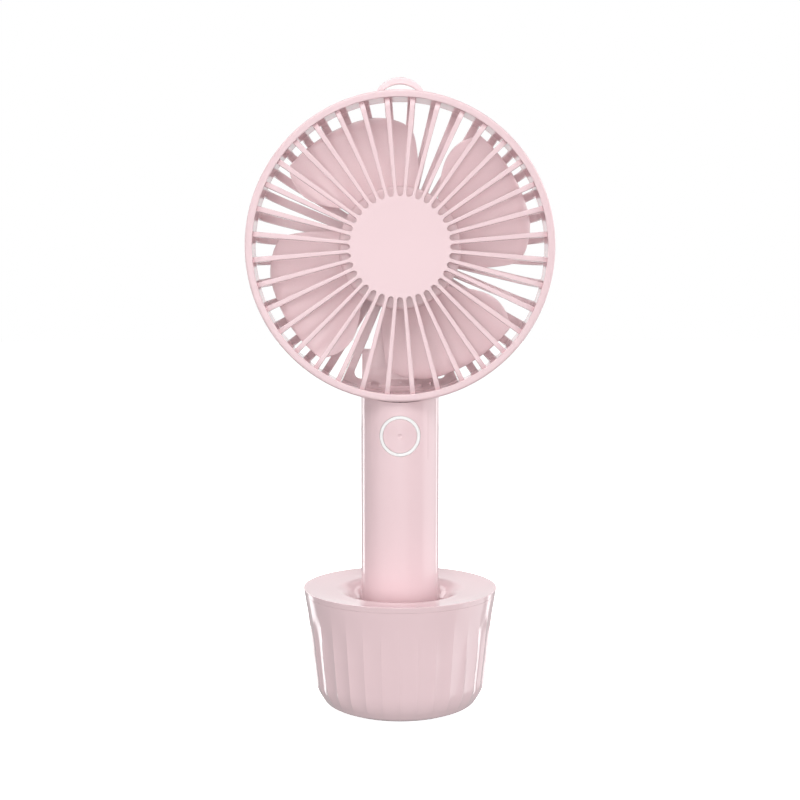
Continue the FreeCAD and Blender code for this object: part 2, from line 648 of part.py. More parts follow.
# ---- wiring ---------------------------------------------------------------------------------------
def motor_leads():
    """Three wires from the drive board down into the handle."""
    leads = []
    for x in (-1.5, 0.0, 1.5):
        leads.append(wire_run([vec(x, BACK_IN - 4.1, FAN_Z - 12.9), vec(x, BACK_IN - 4.1, FAN_Z - 15.6),
                               vec(x, BACK_IN - 0.75, FAN_Z - 18.4), vec(x, BACK_IN - 0.75, 110.0),
                               vec(x * 1.6, 4.4, 106.6), vec(x * 1.6, 3.1, 105.8)], 0.5, 1.3))
    return group(leads)


def wire_cover():
    """Channel over the leads; its foot spreads over the bowl's shoulder, notched for two snap lugs."""
    low, high = FAN_Z - 43.0, FAN_Z - 19.5
    channel = block(-3.4, 3.4, BACK_IN - 2.4, BACK_IN - 0.1, low, high)
    lip = block(-3.4, 3.4, BACK_IN - 2.4, BACK_IN - 1.6, low - 3, low + 1)

    def on_shoulder(radius, degrees):
        """(r, y) on a circle about the shoulder's own centre."""
        angle = math.radians(degrees)
        return TURN_R + radius * math.cos(angle), BOWL_STRAIGHT + radius * math.sin(angle)

    under, top = SHOULDER - 0.05, SHOULDER - 1.1
    begin, middle, end = 24, 54, 84
    foot_face = outline(lambda r, y: vec(r, y, FAN_Z), on_shoulder(under, begin),
                        [on_shoulder(under, middle) + on_shoulder(under, end), on_shoulder(top, end),
                         on_shoulder(top, middle) + on_shoulder(top, begin)])
    foot = clock(foot_face.revolve(FAN_CENTRE, Y_AXIS, 2 * COVER_SECTOR), 90 - COVER_SECTOR)
    cover = channel.fuse(lip).fuse(foot)
    cover = cover.cut(block(-2.6, 2.6, BACK_IN - 1.6, BACK_IN + 1, low - 5, high + 1))
    notch = block(-1.3, 1.3, 0, BACK_IN, FAN_Z - 51, FAN_Z - 47.6)
    cover = cover.cut(clock(notch, COVER_LUG)).cut(clock(notch, -COVER_LUG))
    return cover.cut(rod_y(0.5, 0, 6.9, 0, FAN_Z - 47))


def battery_leads():
    """Two wires from the cell's ends to the control board."""
    front = BOARD_BACK - BOARD_THICK
    foot = CELL_FOOT - 0.15
    head = CELL_FOOT + CELL_LEN + 0.15
    low_lead = wire_run([vec(-3.1, -9.9, foot), vec(-4.6, -9.9, foot + 3.0), vec(-4.6, -9.9, 80.0),
                         vec(-6.5, front - 1.2, 84.5), vec(-6.5, front - 0.55, 86.0)], 0.5, 2.0)
    high_lead = wire_run([vec(3.1, -9.2, head), vec(4.4, -8.8, head + 1.6),
                          vec(6.5, front - 1.2, 84.5), vec(6.5, front - 0.55, 86.0)], 0.5, 1.0)
    return group([low_lead, high_lead])


# ---- write every piece ----------------------------------------------------------------------------
def main():
    """Write every piece as its own STEP file."""
    os.makedirs("parts", exist_ok=True)
    save("pot_shell", pot_shell())
    save("top_collar", top_collar())
    save("ballast_plate", ballast_plate())
    save("bottom_cover", bottom_cover())
    save("foot_pad", foot_pad())
    save("base_screws", base_screws())
    save("socket_liner", socket_liner())

    save("front_guard", front_guard())
    save("rear_guard", rear_guard())
    save("wire_cover", wire_cover())

    save("impeller", impeller())
    save("rotor_cup", rotor_cup())
    save("rotor_magnet", tube_y(MAGNET_R, MAGNET_IN, -3.5, 3.4))
    save("motor_shaft", rod_y(SHAFT_R, HUB_FRONT + 1.0, BACK_IN - 1.3))
    save("shaft_clip", tube_y(SHAFT_R + 1.0, SHAFT_R, BACK_IN - 2.3, BACK_IN - 1.9))
    save("shaft_bush", tube_y(BUSH_R, SHAFT_R + 0.03, -3.9, BACK_IN - 2.5))
    save("stator_core", stator_core())
    save("stator_coils", stator_coils())
    save("motor_base", motor_base())
    save("motor_board", motor_board())
    save("motor_screws", group([screw_y(0.75, 1.9, 0.9, BACK_IN - 3.4, BACK_OUT - 0.2, x, z)
                                for x, z in motor_screw_places()]))
    save("motor_leads", motor_leads())

    save("handle_tube", handle_tube())
    save("handle_end_cap", handle_end_cap())
    save("neck_screw", screw_y(0.85, 1.85, 0.9, 9.0, HANDLE_R - 0.15, 0, NECK_SCREW_Z))
    save("light_ring", light_ring())
    save("button_cap", button_cap())
    save("cell_sled", cell_sled())
    save("battery_cell", battery_cell())
    save("cell_tabs", cell_tabs())
    save("battery_leads", battery_leads())
    save("control_board", control_board())
    save("usb_socket", usb_socket())
    save("tact_switch", tact_switch())
    save("switch_plunger", rod_y(1.65, -3.85, -1.2, 0, BUTTON_Z))
    save("status_leds", status_leds())
    save("charger_chip", block(-2.5, 2.5, BOARD_BACK + 0.02, BOARD_BACK + 1.0, 97.5, 102.5))
    save("power_coil", rod_y(2.6, BOARD_BACK + 0.02, BOARD_BACK + 2.4, -4.8, 92.4))


main()
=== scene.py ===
import math

import bmesh
import bpy
import numpy as np
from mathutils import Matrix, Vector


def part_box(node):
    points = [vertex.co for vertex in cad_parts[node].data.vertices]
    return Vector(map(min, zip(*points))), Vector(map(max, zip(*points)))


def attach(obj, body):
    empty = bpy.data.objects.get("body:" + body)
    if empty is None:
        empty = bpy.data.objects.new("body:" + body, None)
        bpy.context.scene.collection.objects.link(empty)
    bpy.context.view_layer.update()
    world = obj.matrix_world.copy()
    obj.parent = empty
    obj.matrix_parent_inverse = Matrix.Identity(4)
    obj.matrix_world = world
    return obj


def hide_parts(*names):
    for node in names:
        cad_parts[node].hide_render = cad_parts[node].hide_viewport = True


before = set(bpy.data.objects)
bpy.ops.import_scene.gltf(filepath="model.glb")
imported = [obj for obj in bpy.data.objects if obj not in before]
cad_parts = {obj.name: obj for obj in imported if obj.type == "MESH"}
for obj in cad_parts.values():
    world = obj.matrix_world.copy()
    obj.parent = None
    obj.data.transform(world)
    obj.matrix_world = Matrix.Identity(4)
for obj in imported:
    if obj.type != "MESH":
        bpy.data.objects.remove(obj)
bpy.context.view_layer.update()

# ---- sizes, in millimetres ------------------------------------------------------------------------
MM = 0.001


def box_mm(node):
    """Lowest and highest corner of a CAD node, in millimetres."""
    low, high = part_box(node)
    return np.array(low) / MM, np.array(high) / MM


# Corners of the CAD pieces that the surfaces are fitted to.
GUARD_LOW, GUARD_HIGH = box_mm("front_guard")
BOWL_HIGH = box_mm("rear_guard")[1]
HUB_HIGH = box_mm("impeller")[1]
TUBE_LOW, TUBE_HIGH = box_mm("handle_tube")
POT_HIGH = box_mm("pot_shell")[1]
LID_LOW, LID_HIGH = box_mm("top_collar")
CAP_LOW, CAP_HIGH = box_mm("button_cap")
USB_LOW, USB_HIGH = box_mm("usb_socket")
NECK_SCREW_LOW, NECK_SCREW_HIGH = box_mm("neck_screw")

HAIR = 0.02                                        # step that keeps faces of two pieces out of one plane
RING_TURNS = 288                                   # facets round the guard

# Front guard. Depths run along Y, from the front to the back.
FAN_Z = (GUARD_LOW[2] + GUARD_HIGH[2]) / 2         # impeller axis
GUARD_R = (GUARD_HIGH[0] - GUARD_LOW[0]) / 2
GUARD_WALL = 2.6
GUARD_IN = GUARD_R - GUARD_WALL
GUARD_FRONT = GUARD_LOW[1]
SPLIT = GUARD_HIGH[1] - 2.4                        # joint between front ring and rear bowl
GRILLE_FACE = GUARD_FRONT + 0.2
SPOKES = 36
SPOKE_DEPTH = 3.0
SPOKE_WIDTH = 1.22                                 # at the disc
SPOKE_FLARE = 0.55                                 # wider by this at the ring
SPOKE_BEND = 6.0
SPOKE_ROUNDING = 0.22
DISC_R = 16.4
SLOT_ROUND = 0.88                                  # half width of the round inner end of a slot

# Rear bowl.
BACK_OUT = 12.6                                    # its rear face
SHOULDER = 8.0
TURN_R = GUARD_IN - SHOULDER
STRAIGHT = BACK_OUT - GUARD_WALL - SHOULDER        # where the bowl wall starts to turn
RIBS = 40                                          # pitches round the bowl
RIB_WIDTH = 2.8
RIB_ROUNDING = 0.3
SLOT_START = -4.8
PLAIN_HALF = math.radians(13.5)                    # half of the sector over the neck, where no slots are
END_SLOT = math.radians(18)                        # the two shorter slots beside that sector
END_SLOT_R = 45.75                                 # centre of their round ends
PLATE_R = 20.4
SCREW_CIRCLE = 10.5
SCREW_HOLE = 2.1

# Impeller.
HUB_R = 21.1
HUB_FRONT = -9.0
TIP_R = 46.7
BLADES = 4
BLADE_HALF = 0.65                                  # half the thickness of a blade

# Handle, light ring and button.
HANDLE_R = TUBE_HIGH[0]
HANDLE_IN = HANDLE_R - 1.8
BUTTON_Z = (CAP_LOW[2] + CAP_HIGH[2]) / 2
GLOW_R = 6.96                                      # light ring
CAP_R = 5.88                                       # button cap
USB_HALF = (4.65, 1.65)                            # half width and half height of the charging opening
NECK_SCREW_R = 2.0

# Stand.
RIM_R = LID_HIGH[0]
RIM_Z = LID_HIGH[2]
SEAM_Z = POT_HIGH[2]                               # joint between wall and lid
SEAM_R = 33.85
SOCKET_R = 15.3
FLUTES = 32
FLUTE_DEPTH = 0.45
FLUTE_FOOT, FLUTE_RISE = 0.8, 7.0                  # the flutes start here and are full this much higher
FLUTE_TOP, FLUTE_FALL = 38.5, 16.0                 # they end here and are full this much lower


# ---- mesh helpers ---------------------------------------------------------------------------------
def rounded(corners, steps=5):
    """Closed outline from (a, b, radius) corners: each corner becomes an arc tangent to both sides."""
    points = np.array([corner[:2] for corner in corners], float)
    straight_on = math.pi / 2 - 0.01
    outline = []
    for i, here in enumerate(points):
        radius = corners[i][2]
        before = points[i - 1] - here
        after = points[(i + 1) % len(points)] - here
        before /= np.linalg.norm(before)
        after /= np.linalg.norm(after)
        half = math.acos(np.clip(np.dot(before, after), -1, 1)) / 2
        if radius <= 0 or half > straight_on:
            outline.append(here[None])
            continue
        centre = here + (before + after) / np.linalg.norm(before + after) * radius / math.sin(half)
        start = here + before * radius / math.tan(half) - centre
        end = here + after * radius / math.tan(half) - centre
        turn = math.atan2(start[0] * end[1] - start[1] * end[0], start @ end)
        angle = np.linspace(0, turn, steps + 1)[:, None]
        side = np.array([-start[1], start[0]])
        outline.append(centre + np.cos(angle) * start + np.sin(angle) * side)
    return np.concatenate(outline)


def grid_faces(rows, columns, wrap_rows=False, wrap_columns=False):
    """Quads of a rows by columns grid whose points are numbered row by row."""
    row, column = np.meshgrid(np.arange(rows if wrap_rows else rows - 1),
                              np.arange(columns if wrap_columns else columns - 1), indexing="ij")
    next_row, next_column = (row + 1) % rows, (column + 1) % columns
    quads = [row * columns + column, row * columns + next_column,
             next_row * columns + next_column, next_row * columns + column]
    return np.stack(quads, -1).reshape(-1, 4)


def closed_tube(rows, columns):
    """Faces of a tube whose rows are rings of points: the quads between them and one face at each end."""
    ends = [list(range(columns)), list(range((rows - 1) * columns, rows * columns))]
    return grid_faces(rows, columns, False, True).tolist() + ends


def around_fan(radius, along, angle):
    """Point at a radius and depth, at a clock angle about the impeller axis, clockwise from the top."""
    return np.stack(np.broadcast_arrays(radius * np.sin(angle), along, FAN_Z + radius * np.cos(angle)), -1)


def around_handle(radius, height, angle):
    """Point at a radius and height, at an angle about the handle axis, 0 facing the front."""
    return np.stack(np.broadcast_arrays(radius * np.sin(angle), -radius * np.cos(angle), height), -1)


def lathe(outline, place, turns=192):
    """Closed (radius, along) outline carried round an axis: radius turns, along stays."""
    angle = np.linspace(0, 2 * math.pi, turns, endpoint=False)[:, None]
    points = place(outline[None, :, 0], outline[None, :, 1], angle)
    return points.reshape(-1, 3), grid_faces(turns, len(outline), True, True)


def beam(path, widths, depth, rounding):
    """Rounded bar along a path in the (radius, along) plane: its outer face lies on the path, its width
    is across that plane and its depth is to the left of the direction of travel."""
    ahead = np.gradient(path, axis=0)
    ahead /= np.linalg.norm(ahead, axis=1)[:, None]
    inward = np.stack([-ahead[:, 1], ahead[:, 0]], -1)
    # Four quarter circles, and for each of their points the corner of the bar that it belongs to.
    section = rounded([(1, 0, 0.999), (1, 2, 0.999), (-1, 2, 0.999), (-1, 0, 0.999)], 3)
    corner = np.stack([np.sign(section[:, 0]), np.where(section[:, 1] > 1, 1.0, 0.0)], -1)
    unit = section - np.stack([corner[:, 0] * 0.001, np.where(corner[:, 1] > 0, 1.001, 0.999)], -1)
    across = corner[:, 0] * (widths[:, None] / 2 - rounding) + unit[:, 0] * rounding
    inside = rounding + corner[:, 1] * (depth - 2 * rounding) + unit[:, 1] * rounding
    flat = path[:, None, :] + inward[:, None, :] * inside[..., None]
    return flat[..., 0], flat[..., 1], across


def beams(path, widths, depth, rounding, angles):
    """The same bar repeated at several clock angles round the impeller axis, with closed ends."""
    radius, along, across = beam(path, widths, depth, rounding)
    angle = np.asarray(angles)[:, None, None]
    x = radius * np.sin(angle) + across * np.cos(angle)
    z = FAN_Z + radius * np.cos(angle) - across * np.sin(angle)
    points = np.stack([x, np.broadcast_to(along, x.shape), z], -1)
    faces = closed_tube(*radius.shape)
    return [(bar, faces) for bar in points.reshape(len(angles), -1, 3)]


def thicken(outer, inner, quads):
    """Closed shell from a sheet and a matching second sheet, joined along every free edge."""
    key = np.round(outer, 4)
    _, first, same = np.unique(key, axis=0, return_index=True, return_inverse=True)
    outer, inner = outer[first], inner[first]
    quads = same.reshape(-1)[quads]
    edges = np.concatenate([np.stack([quads[:, i], quads[:, (i + 1) % 4]], -1) for i in range(4)])
    edges = edges[edges[:, 0] != edges[:, 1]]
    _, index, count = np.unique(np.sort(edges, 1), axis=0, return_index=True, return_counts=True)
    free = edges[index[count == 1]]
    more = len(outer)
    sides = np.stack([free[:, 1], free[:, 0], free[:, 0] + more, free[:, 1] + more], -1)
    return np.concatenate([outer, inner]), np.concatenate([quads, quads[:, ::-1] + more, sides])


def piece(name, shells, material, body, node, bevel=0.0, sharp=35):
    """Mesh object from closed shells in millimetres: welded, turned outwards and smoothed. Its edges are
    rounded by bevel millimetres, or stay crisp where faces meet at more than sharp degrees."""
    mesh = bpy.data.meshes.new(name)
    points, faces, count = [], [], 0
    for shell_points, shell_faces in shells:
        points.append(np.asarray(shell_points, float) * MM)
        rows = shell_faces.tolist() if hasattr(shell_faces, "tolist") else shell_faces
        faces.extend([[i + count for i in row] for row in rows])
        count += len(shell_points)
    mesh.from_pydata(np.concatenate(points).tolist(), [], faces)
    work = bmesh.new()
    work.from_mesh(mesh)
    bmesh.ops.remove_doubles(work, verts=work.verts, dist=2e-7)
    bmesh.ops.dissolve_degenerate(work, edges=work.edges, dist=1e-8)
    bmesh.ops.recalc_face_normals(work, faces=work.faces)
    work.to_mesh(mesh)
    work.free()
    mesh.shade_smooth()
    mesh.materials.append(material)
    thing = bpy.data.objects.new(name, mesh)
    bpy.context.scene.collection.objects.link(thing)
    if bevel:
        edge = thing.modifiers.new("edge rounding", "BEVEL")
        edge.width = bevel * MM
        edge.segments = 3
        edge.limit_method = "ANGLE"
        edge.angle_limit = math.radians(40)
        edge.harden_normals = True
    else:
        mesh.set_sharp_from_angle(angle=math.radians(sharp))
        level = thing.modifiers.new("flat faces stay flat", "WEIGHTED_NORMAL")
        level.keep_sharp = True
    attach(thing, body)
    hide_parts(node)
    return thing


# ---- materials ------------------------------------------------------------------------------------
def linear(code):
    """sRGB hex colour as linear red, green, blue, alpha."""
    channels = [int(code[i:i + 2], 16) / 255 for i in (1, 3, 5)]
    return [c / 12.92 if c <= 0.04045 else ((c + 0.055) / 1.055) ** 2.4 for c in channels] + [1.0]


def add(tree, kind, settings=(), inputs=(), links=()):
    """New node with its settings, socket values and links: (own socket, node, its socket)."""
    node = tree.nodes.new(kind)
    for name, value in dict(settings).items():
        setattr(node, name, value)
    for name, value in dict(inputs).items():
        node.inputs[name].default_value = value
    for own, other, theirs in links:
        tree.links.new(other.outputs[theirs], node.inputs[own])
    return node


def start(name):
    """Empty material with its shader, and a place lookup on the object's own coordinates."""
    material = bpy.data.materials.new(name)
    material.use_nodes = True
    tree = material.node_tree
    shader = tree.nodes["Principled BSDF"]
    place = add(tree, "ShaderNodeTexCoord")
    return material, tree, shader, place


def moulded(name, dark, light, roughness, grain_mm=0.35, flow_mm=45.0, bump=0.05, coat=0.0):
    """Injection-moulded plastic: the colour drifts slowly with the melt's flow, and the mould's fine grain
    varies gloss and height. A real grain is finer than this one, which is as coarse as it needs to show."""
    material, tree, shader, place = start(name)
    flow = add(tree, "ShaderNodeTexNoise", inputs={"Scale": 1 / (flow_mm * MM), "Detail": 3.0},
               links=[("Vector", place, "Object")])
    grain = add(tree, "ShaderNodeTexNoise", inputs={"Scale": 1 / (grain_mm * MM), "Detail": 2.0},
                links=[("Vector", place, "Object")])
    drift = add(tree, "ShaderNodeMapRange", inputs={"From Min": 0.35, "From Max": 0.65},
                links=[("Value", flow, "Fac")])
    colour = add(tree, "ShaderNodeMix", {"data_type": "RGBA"}, {6: linear(dark), 7: linear(light)},
                 [(0, drift, "Result")])
    tree.links.new(colour.outputs[2], shader.inputs["Base Color"])
    gloss = add(tree, "ShaderNodeMapRange", inputs={"From Min": 0.3, "From Max": 0.7,
                                                    "To Min": roughness - 0.04, "To Max": roughness + 0.04},
                links=[("Value", grain, "Fac")])
    tree.links.new(gloss.outputs["Result"], shader.inputs["Roughness"])
    relief = add(tree, "ShaderNodeBump", inputs={"Strength": bump, "Distance": 0.00002},
                 links=[("Height", grain, "Fac")])
    tree.links.new(relief.outputs["Normal"], shader.inputs["Normal"])
    shader.inputs["IOR"].default_value = 1.53
    shader.inputs["Coat Weight"].default_value = coat
    return material


def metal(name, dark, light, roughness, grain_mm=0.12, stretch=(1, 1, 1)):
    """Bare or plated metal: fine machining or rolling marks vary its colour, roughness and height. Real marks
    are finer than these, which are as coarse as they need to show. They are short along a stretched axis."""
    material, tree, shader, place = start(name)
    turn = add(tree, "ShaderNodeMapping", inputs={"Scale": stretch}, links=[("Vector", place, "Object")])
    marks = add(tree, "ShaderNodeTexNoise", inputs={"Scale": 1 / (grain_mm * MM), "Detail": 4.0},
                links=[("Vector", turn, "Vector")])
    colour = add(tree, "ShaderNodeMix", {"data_type": "RGBA"}, {6: linear(dark), 7: linear(light)},
                 [(0, marks, "Fac")])
    tree.links.new(colour.outputs[2], shader.inputs["Base Color"])
    gloss = add(tree, "ShaderNodeMapRange", inputs={"From Min": 0.3, "From Max": 0.7,
                                                    "To Min": roughness - 0.06, "To Max": roughness + 0.08},
                links=[("Value", marks, "Fac")])
    tree.links.new(gloss.outputs["Result"], shader.inputs["Roughness"])
    relief = add(tree, "ShaderNodeBump", inputs={"Strength": 0.15, "Distance": 0.00002},
                 links=[("Height", marks, "Fac")])
    tree.links.new(relief.outputs["Normal"], shader.inputs["Normal"])
    shader.inputs["Metallic"].default_value = 1.0
    return material


def frosted_acrylic():
    """Diffusing acrylic light guide: milky, smooth, a little light passes under the skin."""
    material, tree, shader, place = start("frosted acrylic")
    haze = add(tree, "ShaderNodeTexNoise", inputs={"Scale": 1 / (2.5 * MM), "Detail": 2.0},
               links=[("Vector", place, "Object")])
    colour = add(tree, "ShaderNodeMix", {"data_type": "RGBA"}, {6: linear("#f4f3f2"), 7: linear("#ffffff")},
                 [(0, haze, "Fac")])
    tree.links.new(colour.outputs[2], shader.inputs["Base Color"])
    gloss = add(tree, "ShaderNodeMapRange", inputs={"To Min": 0.24, "To Max": 0.34},
                links=[("Value", haze, "Fac")])
    tree.links.new(gloss.outputs["Result"], shader.inputs["Roughness"])
    shader.inputs["IOR"].default_value = 1.49
    shader.inputs["Subsurface Weight"].default_value = 0.3
    shader.inputs["Subsurface Radius"].default_value = (0.002, 0.002, 0.002)
    shader.inputs["Subsurface Scale"].default_value = 0.5
    return material


# ABS of the front guard, handle, button and stand, from polished moulds: an even, pale dusty pink that is
# glossy enough to mirror its surroundings as light and dark bands.
PINK = moulded("moulded pink ABS", "#e6cace", "#e8ccd0", 0.12)
# The same plastic in the blades and the bowl, painted a little lighter to lift the shade that falls on them
# behind the grille. Their moulds are polished less, which gives softer highlights.
PINK_PAINTED_LIGHTER = moulded("moulded pink ABS, blades", "#ebd4d7", "#edd6d9", 0.24)
# Silicone liner from a blasted mould: the same family of pink, dead matt and slightly dusty.
SILICONE = moulded("moulded silicone", "#dcbfc3", "#e4c9cc", 0.62, grain_mm=0.2, bump=0.12)
# Rubber foot: flat warm grey with hardly a highlight.
RUBBER = moulded("moulded foot rubber", "#8f8889", "#999293", 0.75, grain_mm=0.3, bump=0.2)
# Glass-filled nylon: near black and half matt, with the slight mottle of fibres close to its skin.
NYLON = moulded("glass-filled nylon", "#1c1c1f", "#26262a", 0.5, grain_mm=0.15, bump=0.15)
# ABS of the cell's carrier: warm off-white with a plain half gloss.
WHITE_ABS = moulded("moulded white ABS", "#dcdad5", "#e4e2de", 0.42)
# Heat-shrunk sleeve round the cell: a clean, glossy blue.
CELL_WRAP = moulded("heat-shrunk cell sleeve", "#2f7f9c", "#3789a6", 0.28, grain_mm=0.6)
# Silicone insulation of the leads: deep red with a soft sheen.
LEAD_SKIN = moulded("silicone lead insulation", "#8c1f22", "#972628", 0.45, grain_mm=0.2)
# Circuit board under solder mask: dark green with a thin clear gloss over it.
BOARD = moulded("solder-masked circuit board", "#165236", "#1d5f40", 0.32, grain_mm=0.25, coat=0.3)
# Moulded epoxy chip package: black, fine-grained and matt.
CHIP = moulded("moulded chip package", "#131315", "#1a1a1d", 0.55, grain_mm=0.1)
# Lamp lens: pale cream and glossy.
LED_LENS = moulded("moulded lamp lens", "#efe9c8", "#f6f0d2", 0.2)
# Ferrite powder bonded with plastic: dark grey, matt and gritty.
FERRITE = moulded("bonded ferrite", "#26262a", "#303035", 0.6, grain_mm=0.12, bump=0.2)
# Steel laminations under varnish: blue-grey with a half gloss, and no bare metal showing.
VARNISH = moulded("varnished laminations", "#4a5058", "#565d66", 0.4, grain_mm=0.35)
# Zinc-plated steel: light cool grey metal, bright and slightly clouded.
ZINC = metal("zinc-plated steel", "#b9bbc0", "#cfd1d6", 0.3)
# Cold-rolled steel: mid-grey metal, its highlights drawn out by the marks of the rolls.
ROLLED = metal("cold-rolled steel", "#8f9196", "#a2a4a9", 0.38, stretch=(1, 1, 8))
# Nickel strip: smooth, warm light grey metal.
NICKEL = metal("nickel strip", "#bdb9b0", "#cbc7bf", 0.3, stretch=(1, 1, 6))
# Enamelled copper wire: orange-brown metal with a soft shine.
COPPER = metal("enamelled copper wire", "#a4562c", "#bf6c3c", 0.35, grain_mm=0.3, stretch=(1, 6, 1))
# Sintered bronze: golden brown metal, dulled by its open pores.
BRONZE = metal("sintered bronze", "#8f6b3c", "#a67f4b", 0.45)
# Diffusing acrylic: milky white, as if light stood a little below its skin.
ACRYLIC = frosted_acrylic()

NODE_FINISH = {
    "pot_shell": PINK, "top_collar": PINK, "bottom_cover": PINK, "foot_pad": RUBBER, "ballast_plate": ROLLED,
    "base_screws": ZINC, "socket_liner": SILICONE, "front_guard": PINK, "rear_guard": PINK,
    # wire cover and impeller take the pink painted lighter against the shade behind the grille
    "wire_cover": PINK_PAINTED_LIGHTER, "impeller": PINK_PAINTED_LIGHTER, "rotor_cup": ROLLED, "rotor_magnet": FERRITE,
    "motor_shaft": ZINC, "shaft_clip": ZINC, "shaft_bush": BRONZE, "stator_core": VARNISH,
    "stator_coils": COPPER, "motor_base": NYLON, "motor_board": BOARD, "motor_screws": ZINC,
    "motor_leads": LEAD_SKIN, "handle_tube": PINK, "handle_end_cap": PINK, "neck_screw": ZINC,
    "light_ring": ACRYLIC, "button_cap": PINK, "cell_sled": WHITE_ABS, "battery_cell": CELL_WRAP,
    "cell_tabs": NICKEL, "battery_leads": LEAD_SKIN, "control_board": BOARD, "usb_socket": NICKEL,
    "tact_switch": NYLON, "switch_plunger": NYLON, "status_leds": LED_LENS, "charger_chip": CHIP,
    "power_coil": CHIP,
}


def finish_nodes():
    """Give every CAD node the finish of the real piece."""
    for node, material in NODE_FINISH.items():
        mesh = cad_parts[node].data
        mesh.materials.clear()
        mesh.materials.append(material)


# ---- guard ----------------------------------------------------------------------------------------
def arc_path(centre, radius, start_angle, end_angle, steps):
    """Points on an arc: the centre plus the radius times the cosine and sine of evenly spaced angles."""
    angle = np.radians(np.linspace(start_angle, end_angle, steps))
    return np.stack([centre[0] + radius * np.cos(angle), centre[1] + radius * np.sin(angle)], -1)


def front_guard():
    """Ring turned from its section, a disc, and bars that run straight out from the disc and then along an
    arc back into the ring. A bar's width grows in step with the radius."""
    lap = GUARD_IN + 1.15                          # lip that the rear bowl slides over
    seam = SPLIT - 0.12
    ring = rounded([(GUARD_R, seam, 0.15), (GUARD_R, GUARD_FRONT, 0.9), (GUARD_IN, GUARD_FRONT, 0.35),
                    (GUARD_IN, GUARD_HIGH[1], 0.15), (lap, GUARD_HIGH[1], 0.15), (lap, seam, 0)])
    shells = [lathe(ring, around_fan, RING_TURNS)]
    bend_from = GUARD_IN - 3.6
    face = GRILLE_FACE + HAIR
    straight = np.linspace(DISC_R - 2.0, bend_from, 12)
    flat = np.stack([straight, np.full(12, face)], -1)
    turn = arc_path((bend_from, face + SPOKE_BEND), SPOKE_BEND, -90, -48, 9)
    path = np.concatenate([flat, turn[1:]])
    widths = SPOKE_WIDTH + SPOKE_FLARE * (path[:, 0] - DISC_R) / (GUARD_IN - DISC_R)
    pitch = 2 * math.pi / SPOKES
    angles = (np.arange(SPOKES) + 0.5) * pitch
    shells += beams(path, widths, SPOKE_DEPTH, SPOKE_ROUNDING, angles)
    shells.append(grille_disc(pitch))
    return piece("front_guard_shell", shells, PINK, "fan", "front_guard")


def grille_disc(pitch):
    """Disc whose edge dips inwards between every two bars, by the square root of the slot's half width
    squared less the distance across squared: a half circle."""
    turns = SPOKES * 16
    angle = np.linspace(0, 2 * math.pi, turns, endpoint=False)[:, None]
    edge_r = DISC_R + 1.5
    across = (DISC_R + 0.9) * np.abs((angle + pitch / 2) % pitch - pitch / 2)
    edge = edge_r - np.sqrt(np.maximum(SLOT_ROUND ** 2 - across ** 2, 0))
    edge = np.where(across < SLOT_ROUND, edge, edge_r)
    back = GRILLE_FACE + SPOKE_DEPTH
    section = rounded([(0, GRILLE_FACE, 0), (0.55, GRILLE_FACE, 0), (1, GRILLE_FACE, SPOKE_ROUNDING),
                       (1, back, 0.2), (0, back, 0)])
    inset = (1 - section[:, 0])[None]
    radius = np.where(section[None, :, 0] > 0.5, edge - inset, 0.0)
    points = around_fan(radius, section[None, :, 1] + 0 * radius, angle)
    return points.reshape(-1, 3), grid_faces(turns, len(section), True, True)


def bowl_outside(radius):
    """Depth of the bowl's outer face at a radius: flat back, then a round shoulder."""
    corner = SHOULDER + GUARD_WALL
    drop = np.clip(radius - TURN_R, 0, corner)
    return STRAIGHT + np.sqrt(np.maximum(corner ** 2 - drop ** 2, 0))


def rear_guard():
    """Band turned from its section, and ribs that run back along the band, round the shoulder's arc and in
    across the back to a middle plate."""
    lap = GUARD_IN + 1.3                           # rebate that the front ring's lip sits in
    seam = SPLIT + 0.06
    floor = SPLIT + 2.5
    band = rounded([(GUARD_R, seam, 0.15), (GUARD_R, SLOT_START, 0.3), (GUARD_IN, SLOT_START, 0.3),
                    (GUARD_IN, floor, 0.1), (lap, floor, 0), (lap, seam, 0)])
    shells = [lathe(band, around_fan, RING_TURNS)]
    side = np.stack([np.full(6, GUARD_R - HAIR), np.linspace(SLOT_START - 1.0, STRAIGHT, 6)], -1)
    turn = arc_path((TURN_R, STRAIGHT), SHOULDER + GUARD_WALL - HAIR, 0, 90, 16)
    across = np.stack([np.linspace(TURN_R, 17.5, 12), np.full(12, BACK_OUT - HAIR)], -1)
    path = np.concatenate([side, turn[1:], across[1:]])
    angles = np.radians((np.arange(RIBS) + 0.5) * 360 / RIBS)
    clear = np.abs(angles - math.pi) > PLAIN_HALF * 1.04
    widths = np.full(len(path), RIB_WIDTH)
    shells += beams(path, widths, GUARD_WALL - 2 * HAIR, RIB_ROUNDING, angles[clear])
    shells.append(plain_sector(path))
    shells += slot_ends()
    shells += [middle_plate(), neck_fairing(), hanging_loop()]
    # the bowl takes the pink painted lighter against the shade behind the grille
    return piece("rear_guard_shell", shells, PINK_PAINTED_LIGHTER, "fan", "rear_guard")


def plain_sector(path):
    """The slot-free sector over the neck: the ribs' path, and the same path one wall further in, carried
    round through a wedge of angles that reaches half a rib past its edges."""
    ahead = np.gradient(path, axis=0)
    ahead /= np.linalg.norm(ahead, axis=1)[:, None]
    inside = path + np.stack([-ahead[:, 1], ahead[:, 0]], -1) * (GUARD_WALL - HAIR)
    section = np.concatenate([path, inside[::-1]])
    share = np.linspace(-1, 1, 25)[:, None]
    radius = section[None, :, 0]
    spread = PLAIN_HALF + 0.5 * RIB_WIDTH / np.maximum(radius, 17)
    points = around_fan(radius, section[None, :, 1], math.pi + share * spread)
    return points.reshape(-1, 3), closed_tube(*points.shape[:2])


